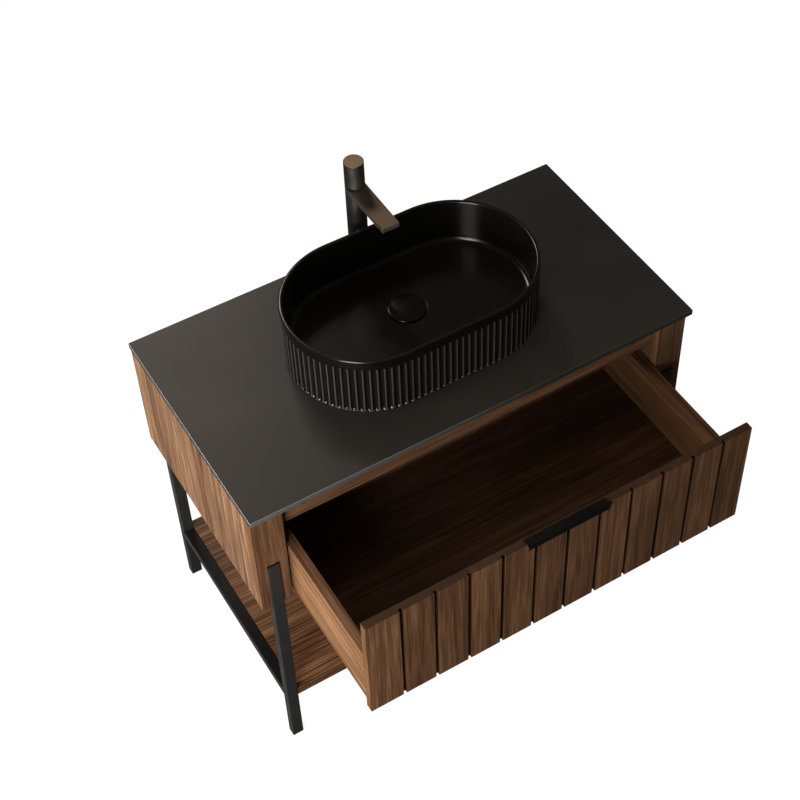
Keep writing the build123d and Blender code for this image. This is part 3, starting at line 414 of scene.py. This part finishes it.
def finish(material, *names):
    """Gives CAD nodes their material."""
    for name in names:
        slots = nodes[name].material_slots
        if not slots:
            nodes[name].data.materials.append(material)
        for slot in nodes[name].material_slots:
            slot.material = material


def both(*stems):
    """The left and right node of each stem."""
    return [f"{stem}_{side}" for stem in stems for side in ("left", "right")]


# ---------------------------------------------------------------- places from the frame
slab_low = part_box("countertop")[0]
front_low, front_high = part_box("drawer_front")
basin_low, basin_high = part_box("basin")
opening_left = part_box("front_stile_left")[1].x
opening_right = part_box("front_stile_right")[0].x
SLATS = 12
SLAT_PITCH = 0.07075
GROOVE_SHIFT = 0.003
first_pitch_line = (opening_left + opening_right) / 2 + GROOVE_SHIFT - SLATS / 2 * SLAT_PITCH

# ---------------------------------------------------------------- finishes of the CAD nodes
# Where the leaves of veneer start, in metres
SIDE_MARGIN = 0.022
STILE_EDGE_X = -0.62
RAIL_EDGE_Z = 0.60
INNER_EDGE_Z = 0.49
BOTTOM_EDGE_Y = -0.40
DRAWER_BOARD = {"leaf": 0.145, "start": 0.5095}

# The side panels' paler, cooler colour is partly the veneer's own and partly painted sheen, standing in for the
# gloss of the key lamp, which is kept off.
wood_side_with_sheen = walnut(
    "walnut side with painted sheen", "Z", "Y", leaf=0.123, start=slab_low.y + SIDE_MARGIN, seed=3.1, tone=1.20, spread=0.10,
    figure=0.7, tint=(0.97, 1.08, 1.22), stripe=1.0,
)
wood_front = walnut(
    "walnut front", "Z", "X", leaf=SLAT_PITCH, start=first_pitch_line, seed=4.0, tone=0.94, spread=0.14,
    tint=(1.0, 0.98, 0.93),
)
# painted shade for the grooves: the same walnut, much darker
wood_groove_shade = walnut("walnut groove painted shade", "Z", "X", leaf=SLAT_PITCH, seed=4.0, tone=0.16)
wood_drawer = walnut(
    "walnut drawer side", "Y", "Z", **DRAWER_BOARD, seed=6.3, tone=1.02, tint=(1.02, 1.02, 1.0),
    figure=1.8, stripe=1.2,
)
# The right drawer side's darker tone is painted shade: the face of it that is seen lies inside the drawer.
wood_drawer_right_shaded = walnut(
    "walnut drawer side right, painted shade", "Y", "Z", **DRAWER_BOARD, seed=15.2, tone=0.84, tint=(1.03, 0.97, 0.92),
)
wood_shelf = walnut(
    "walnut shelf", "X", "Y", leaf=0.17, start=slab_low.y, seed=11.5, tone=0.76, spread=0.14, figure=2.0,
    tint=(1.06, 0.97, 0.88), stripe=1.7,
)
wood_stile = walnut("walnut stile", "Z", "X", start=STILE_EDGE_X, seed=8.4, tone=1.04, spread=0.05, figure=0.6)
wood_rail = walnut("walnut rail", "X", "Z", leaf=0.20, start=RAIL_EDGE_Z, seed=5.2, figure=0.7)
wood_inner = walnut("walnut inner", "Y", "Z", leaf=0.27, start=INNER_EDGE_Z, seed=1.7, tone=0.7)
wood_back = walnut("walnut back", "X", "Z", leaf=0.27, start=INNER_EDGE_Z, seed=2.6, tone=0.8)
wood_cross = walnut("walnut drawer back", "X", "Z", **DRAWER_BOARD, seed=7.7, tone=0.75)
# The drawer bottom is made darker: painted shade inside the drawer.
wood_bottom_shaded = walnut("walnut drawer bottom, painted shade", "X", "Y", leaf=0.22, start=BOTTOM_EDGE_Y, seed=9.9, tone=0.52)
finish(wood_side_with_sheen, *both("side_panel"))
finish(wood_stile, *both("front_stile"))
finish(wood_inner, *both("runner_panel"))
finish(wood_drawer, "drawer_side_left")
finish(wood_drawer_right_shaded, "drawer_side_right")
finish(wood_rail, "top_front_rail")
finish(wood_back, "back_panel")
finish(wood_shelf, "lower_shelf")
finish(wood_cross, "drawer_back")
finish(wood_bottom_shaded, "drawer_bottom")
finish(wood_front, "drawer_front")
finish(walnut("dowel", "Y", "X", seed=13.0, tone=2.2), "drawer_dowels")

black_glaze = glaze()
finish(black_glaze, "basin")
finish(stone_top(), "countertop")

# the powder coat's flat tops are painted darker: painted shade
powder = coat("black powder coat", (0.0262, 0.0255, 0.0240), roughness=0.55, specular=0.25, painted_top_shading=0.25)
satin_black = coat(
    "black satin coat", (0.0022, 0.0020, 0.0018), roughness=0.45, texture=1600.0, depth=0.08, specular=0.22,
)
gloss_black = coat("gloss black cap", (0.0145, 0.0112, 0.0084), roughness=0.16, texture=600.0, depth=0.02)
oxide = coat("black oxide", (0.016, 0.016, 0.016), roughness=0.38, texture=2200.0, depth=0.06)
finish(powder, *both("leg_front", "leg_rear", "lower_rail", "upper_rail"))
finish(satin_black, "drawer_pull", "pull_screws")
finish(oxide, "handle_set_screw", "cartridge_nut")

zinc = metal("zinc plate", (0.56, 0.57, 0.58), roughness=0.34, stretch=(500.0, 20.0, 500.0))
# the golden flat tops of both bronzes are a painted reflection of warm light
bronze = metal(
    "dark bronze", (0.25, 0.236, 0.212), roughness=0.40, stretch=(700.0, 700.0, 26.0),
    painted_top_shading=(0.29, 0.215, 0.142),
)
bronze_flat = metal(
    "dark bronze flat", (0.27, 0.255, 0.230), roughness=0.56, stretch=(700.0, 24.0, 700.0),
    painted_top_shading=(0.215, 0.158, 0.112),
)
brass = metal("bare brass", (0.70, 0.52, 0.24), roughness=0.30, stretch=(300.0, 300.0, 60.0))
waste_black = metal(
    "black plate", (0.060, 0.052, 0.046), roughness=0.24, stretch=(160.0, 160.0, 160.0), brush=0.06, depth=0.04,
)
finish(zinc, *both("slide_fixed", "slide_middle", "slide_drawer"))
finish(zinc, "frame_bolts", "shelf_screws", "slide_screws", "drawer_slide_screws", "tap_washer")
finish(bronze, "tap_body", "handle_shell")
finish(bronze_flat, "tap_spout")
finish(brass, "tap_shank", "tap_nut", "handle_stem")
finish(waste_black, "drain_body", "popup_stem")

black_plastic = moulded("black plastic", (0.018, 0.018, 0.018), roughness=0.50)
rubber = moulded("black rubber", (0.014, 0.014, 0.014), roughness=0.65)
acetal = moulded("white acetal", (0.62, 0.61, 0.58), roughness=0.40)
finish(black_plastic, "foot_glides", "drawer_bumpers", "drain_nut", "drain_spider", "tailpiece")
finish(rubber, "drain_gasket", "popup_seal", "tap_gasket")
finish(acetal, "cartridge", "cartridge_yoke", "aerator")


# ---------------------------------------------------------------- mesh pieces
def make_piece(name, points, faces, material, body):
    """A smooth mesh that rides on a CAD body."""
    mesh = bpy.data.meshes.new(name)
    mesh.from_pydata(points, [], faces)
    mesh.validate()
    mesh.materials.append(material)
    mesh.polygons.foreach_set("use_smooth", [True] * len(mesh.polygons))
    piece = bpy.data.objects.new(name, mesh)
    bpy.context.scene.collection.objects.link(piece)
    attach(piece, body)
    return piece


def quarter_turn(parts, first=0):
    """Angles from 0 to a right angle, in equal parts."""
    return [pi / 2 * k / parts for k in range(first, parts + 1)]


# The basin, in metres: its outline is two half circles joined by straights.
END_R = (basin_high.y - basin_low.y) / 2
HALF_STRAIGHT = (basin_high.x - basin_low.x) / 2 - END_R
BASIN_MIDDLE = (basin_low + basin_high) / 2
BASIN_H = basin_high.z - basin_low.z
WALL = 0.009
WALL_LEAN = 0.0002
WALL_STEP = 0.022
RIM_R = 0.0035
RIM_PARTS = 8
FLOOR_H = 0.035
FLOOR_RISE = 0.002
FLOOR_CURVE = 1.6
FLOOR_RINGS = 16
INNER_FILLET = 0.014
FILLET_INSET = 0.0008
FILLET_PARTS = 14
FLUTES = 104
FLUTE_W = 0.0114
FLUTE_D = 0.0034
LAND_EASE = 0.0008
RIDGE_HIGHLIGHT_DEPTH = 0.0011
FLUTE_LOW = 0.0008
FLUTE_HIGH = 0.1200
FLUTE_ROWS = (0.03, 0.05, 0.07, 0.09, 0.105)
BAND_ROWS = (0.123, 0.128)
BALL_ROWS = 9
PER_FLUTE = 16
DRAIN_BACK = 0.019
RECESS_R = 0.0308
RECESS_H = 0.032
RECESS_EASE = 0.0004
HOLE_R = 0.0225
FOOT_EASE = 0.0008
FOOT_INSET = 0.030
FOOT_RECESS_H = 0.018
CUTTER_R = (FLUTE_W**2 / 4 + FLUTE_D**2) / (2 * FLUTE_D)


def outline_point(distance, inset):
    """A point on the oval, moved in by inset. distance runs round the outside."""
    straight = 2 * HALF_STRAIGHT
    half, along = divmod(distance, straight + pi * END_R)
    sign = 1 if half == 0 else -1
    radius = END_R - inset
    if along < straight:
        return sign * (along - HALF_STRAIGHT), -sign * radius
    angle = (along - straight) / END_R - pi / 2
    return sign * (HALF_STRAIGHT + radius * cos(angle)), sign * radius * sin(angle)


def flute_depth(u, height):
    """How deep the ball-ended flute is, u along the wall from its middle, at a height; its lips are eased."""
    reach = FLUTE_W / 2
    past = max(FLUTE_LOW + reach - height, height - (FLUTE_HIGH - reach), 0.0)
    square = CUTTER_R**2 - u * u - past * past
    cut = (sqrt(square) if square > 0 else 0.0) - (CUTTER_R - FLUTE_D)
    return (cut + sqrt(cut * cut + LAND_EASE**2)) / 2


def basin_rows():
    """The basin's section from its foot, over the rim and down to its floor: (inset, height, fluted) a row."""
    reach = FLUTE_W / 2
    rim_foot = BASIN_H - RIM_R
    ends = [k / BALL_ROWS for k in range(1, BALL_ROWS + 1)]
    heights = [FLUTE_LOW / 2, FLUTE_LOW]
    heights += [FLUTE_LOW + reach * t for t in ends]
    heights += FLUTE_ROWS
    heights += [FLUTE_HIGH - reach + reach * (t - ends[0]) for t in ends]
    heights += [FLUTE_HIGH, *BAND_ROWS, rim_foot]
    rows = [(FOOT_EASE, 0.0, False)] + [(0.0, height, True) for height in heights]
    rows += [
        (RIM_R * (1 - cos(a)), rim_foot + RIM_R * sin(a), False) for a in quarter_turn(RIM_PARTS, first=1)
    ]
    rows += [(WALL - RIM_R + RIM_R * sin(a), rim_foot + RIM_R * cos(a), False) for a in quarter_turn(RIM_PARTS)]
    rows += [(WALL + WALL_LEAN * t, rim_foot - WALL_STEP * t, False) for t in (1, 2, 3)]
    floor_edge = FLOOR_H + FLOOR_RISE
    rows += [
        (WALL + FILLET_INSET + INNER_FILLET * (1 - cos(a)), floor_edge + INNER_FILLET * (1 - sin(a)), False)
        for a in quarter_turn(FILLET_PARTS)
    ]
    return rows


def make_basin():
    """The basin: plain rim, ball-ended flutes, a floor that falls to the waste, and a recessed foot."""
    perimeter = 4 * HALF_STRAIGHT + 2 * pi * END_R
    columns = FLUTES * PER_FLUTE
    pitch = perimeter / FLUTES
    points = []
    ridge_highlights = []
    for inset, height, fluted in basin_rows():
        on_flute = fluted and FLUTE_LOW < height < FLUTE_HIGH - FLUTE_W / 4
        for column in range(columns):
            distance = perimeter * column / columns
            depth = flute_depth(((distance / pitch) % 1.0 - 0.5) * pitch, height) if fluted else 0.0
            points.append((*outline_point(distance, inset + depth), height))
            # painted highlight mask for the glaze: 1 on the ridges between flutes, fading out with the flute's
            # depth
            ridge_highlights.append(max(0.0, 1 - depth / RIDGE_HIGHLIGHT_DEPTH) if on_flute else 0.0)
    # the floor runs from the fillet to the waste's recess, then down and under to the foot
    edge = points[-columns:]
    angles = [atan2(y - DRAIN_BACK, x) for x, y, _ in edge]

    def round_drain(radius, height):
        return [(radius * cos(angle), DRAIN_BACK + radius * sin(angle), height) for angle in angles]

    lip = round_drain(RECESS_R, FLOOR_H)
    for k in range(1, FLOOR_RINGS + 1):
        t = k / FLOOR_RINGS
        height = FLOOR_H + FLOOR_RISE * (1 - t) ** FLOOR_CURVE
        points += [
            (x + (goal_x - x) * t, y + (goal_y - y) * t, height)
            for (x, y, _), (goal_x, goal_y, _) in zip(edge, lip)
        ]
    points += round_drain(RECESS_R - RECESS_EASE, FLOOR_H - RECESS_EASE)
    points += round_drain(RECESS_R - RECESS_EASE, RECESS_H)
    points += round_drain(HOLE_R, RECESS_H)
    points += round_drain(HOLE_R, FOOT_RECESS_H)
    for height in (FOOT_RECESS_H, 0.0):
        points += [
            (*outline_point(perimeter * column / columns, FOOT_INSET), height) for column in range(columns)
        ]
    total = len(points) // columns
    faces = []
    for row in range(total):
        here, there = row * columns, ((row + 1) % total) * columns
        for column in range(columns):
            step = (column + 1) % columns
            faces.append((here + column, here + step, there + step, there + column))
    base = Vector((BASIN_MIDDLE.x, BASIN_MIDDLE.y, basin_low.z))
    placed = [base + Vector(p) for p in points]
    basin = make_piece("fluted_basin", placed, faces, black_glaze, "vanity")
    ridge_highlights += [0.0] * (len(points) - len(ridge_highlights))
    basin.data.attributes.new(RIDGE_HIGHLIGHT, "FLOAT", "POINT").data.foreach_set("value", ridge_highlights)
    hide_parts("basin")


CAP_SIDES = 128
CAP_CENTRE_R = 0.0005
CAP_EDGE_R = 0.0030
CAP_EDGE_FLATNESS = 0.8
CAP_EDGE_PARTS = 8
CAP_ROLL_TOP = 0.62
CAP_CROWN_PARTS = 9
CAP_UNDERCUT = 0.0010


def make_cap():
    """The waste's cap: a low dome with a rolled edge."""
    low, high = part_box("popup_cap")
    radius = (high.x - low.x) / 2
    height = high.z - low.z
    shoulder = radius - CAP_EDGE_R
    roll_top = height * CAP_ROLL_TOP
    crown = height - roll_top
    profile = [
        (CAP_CENTRE_R, 0.0), (radius - 2 * CAP_UNDERCUT, 0.0), (radius - 0.2 * CAP_UNDERCUT, CAP_UNDERCUT),
    ]
    profile += [
        (shoulder + CAP_EDGE_R * cos(a), roll_top - CAP_EDGE_R * CAP_EDGE_FLATNESS * (1 - sin(a)))
        for a in quarter_turn(CAP_EDGE_PARTS)
    ]
    profile += [
        (shoulder * (1 - t), roll_top + crown * (1 - (1 - t) ** 2))
        for t in (k / CAP_CROWN_PARTS for k in range(1, CAP_CROWN_PARTS))
    ]
    profile.append((CAP_CENTRE_R, height))
    middle = (low + high) / 2
    turns = [2 * pi * k / CAP_SIDES for k in range(CAP_SIDES)]
    points = [(middle.x + r * cos(a), middle.y + r * sin(a), low.z + z) for r, z in profile for a in turns]
    faces = []
    for row in range(len(profile) - 1):
        here, there = row * CAP_SIDES, (row + 1) * CAP_SIDES
        for k in range(CAP_SIDES):
            step = (k + 1) % CAP_SIDES
            faces.append((here + k, here + step, there + step, there + k))
    faces.append(tuple(reversed(range(CAP_SIDES))))
    faces.append(tuple((len(profile) - 1) * CAP_SIDES + k for k in range(CAP_SIDES)))
    cap = make_piece("waste_cap_cover", points, faces, gloss_black, "waste_cap")
    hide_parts("popup_cap")


def bevelled_box(mesh, low, high, width):
    """Adds a box with eased edges to a bmesh."""
    made = bmesh.ops.create_cube(mesh, size=1.0)["verts"]
    size = high - low
    for vert in made:
        vert.co = Vector(((vert.co[i] + 0.5) * size[i] + low[i] for i in range(3)))
    edges = list({edge for vert in made for edge in vert.link_edges})
    bmesh.ops.bevel(mesh, geom=edges, offset=width, segments=2, profile=0.5, affect="EDGES")


SLAT_GAP = 0.006
SLAT_T = 0.006
SLAT_EASE = 0.0008
SLAT_LAP = 0.001
BOARD_EASE = 0.0004


def make_slats():
    """The drawer front: twelve eased slats on one backing board."""
    mesh = bmesh.new()
    low, high = front_low, front_high
    bevelled_box(mesh, Vector((low.x, low.y + SLAT_T, low.z)), high, BOARD_EASE)
    for i in range(SLATS):
        left = low.x if i == 0 else first_pitch_line + i * SLAT_PITCH + SLAT_GAP / 2
        right = high.x if i == SLATS - 1 else first_pitch_line + (i + 1) * SLAT_PITCH - SLAT_GAP / 2
        slat_low = Vector((left, low.y, low.z))
        slat_high = Vector((right, low.y + SLAT_T + SLAT_LAP, high.z))
        bevelled_box(mesh, slat_low, slat_high, SLAT_EASE)
    data = bpy.data.meshes.new("slatted_front")
    mesh.to_mesh(data)
    mesh.free()
    data.materials.append(wood_front)
    data.materials.append(wood_groove_shade)
    # painted shade: the sides and floors of the grooves take a much darker copy of the slats' walnut
    for face in data.polygons:
        inside = low.x + SLAT_EASE < face.center.x < high.x - SLAT_EASE
        recessed = face.normal.y < -0.9 and face.center.y > low.y + SLAT_T / 2
        if inside and (recessed or abs(face.normal.x) > 0.5):
            face.material_index = 1
    piece = bpy.data.objects.new("slatted_front", data)
    bpy.context.scene.collection.objects.link(piece)
    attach(piece, "drawer")
    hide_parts("drawer_front")


make_basin()
make_cap()
make_slats()

# ---------------------------------------------------------------- stage and light
FLOOR_REACH = 9.0
FLOOR_GREYS = (0.17, 0.18)
FLOOR_GLOW = 0.93
WORLD_GLOW = 0.05
WHITE = (1.0, 1.0, 1.0, 1.0)


def make_stage():
    """A plain pale floor, lit from within so that shadows on it stay faint, and kept out of reflections."""
    g = Graph("floor")
    cloud = g.noise(g.place.outputs["Object"], scale=1.5, detail=3.0, roughness=0.5)
    g.set(
        Base_Color=g.ramp(cloud, *zip((NOISE_LOW, NOISE_HIGH), map(grey, FLOOR_GREYS))),
        Roughness=0.9,
        Emission_Color=WHITE,
        Emission_Strength=FLOOR_GLOW,
    )
    corners = [(FLOOR_REACH * x, FLOOR_REACH * y, 0) for x, y in ((-1, -1), (1, -1), (1, 1), (-1, 1))]
    mesh = bpy.data.meshes.new("floor")
    mesh.from_pydata(corners, [], [(0, 1, 2, 3)])
    mesh.materials.append(g.material)
    floor = bpy.data.objects.new("floor", mesh)
    floor.visible_diffuse = False
    floor.visible_glossy = False
    bpy.context.scene.collection.objects.link(floor)


def area_light(name, at, target, size, watts, colour, diffuse=True, glossy=True):
    """A softbox that the camera doesn't see; it can be kept to diffuse light or to reflections."""
    data = bpy.data.lights.new(name, "AREA")
    data.shape = "RECTANGLE"
    data.size, data.size_y = size
    data.energy = watts
    data.color = colour
    light = bpy.data.objects.new(name, data)
    light.location = at
    aim = Vector(target) - Vector(at)
    light.rotation_euler = aim.to_track_quat("-Z", "Y").to_euler()
    light.visible_camera = False
    light.visible_diffuse = diffuse
    light.visible_glossy = glossy
    bpy.context.scene.collection.objects.link(light)


make_stage()
area_light(
    "key", at=(-3.3, 0.5, 1.15), target=(0.0, 0.0, 0.6), size=(1.8, 1.4), watts=156.0, colour=(1.0, 0.99, 0.96),
    glossy=False,
)
area_light(
    "front_left", at=(-1.95, -1.55, 1.15), target=(0.0, -0.1, 0.6), size=(1.0, 1.0), watts=54.0,
    colour=(1.0, 0.98, 0.95),
)
area_light(
    "spark", at=(-2.1, -1.45, 3.0), target=(0.0, 0.1, 0.8), size=(0.9, 0.9), watts=32.0,
    colour=(1.0, 0.98, 0.95), diffuse=False,
)
area_light(
    "sheen", at=(0.12, 3.95, 4.3), target=(-0.3, 0.2, 0.77), size=(1.7, 1.1), watts=60.0,
    colour=(1.0, 0.89, 0.77), diffuse=False,
)
area_light(
    "overhead", at=(0.0, 0.3, 4.0), target=(0.0, 0.1, 0.7), size=(1.6, 1.6), watts=10.0,
    colour=(1.0, 0.90, 0.76), glossy=False,
)
area_light(
    "right_fill", at=(3.2, 0.9, 1.1), target=(0.0, 0.1, 0.5), size=(1.8, 1.6), watts=85.0,
    colour=(1.0, 0.99, 0.97), glossy=False,
)

world = bpy.data.worlds.new("world")
world.use_nodes = True
world.node_tree.nodes["Background"].inputs["Color"].default_value = WHITE
world.node_tree.nodes["Background"].inputs["Strength"].default_value = WORLD_GLOW
bpy.context.scene.world = world
bpy.context.scene.view_settings.view_transform = "Standard"
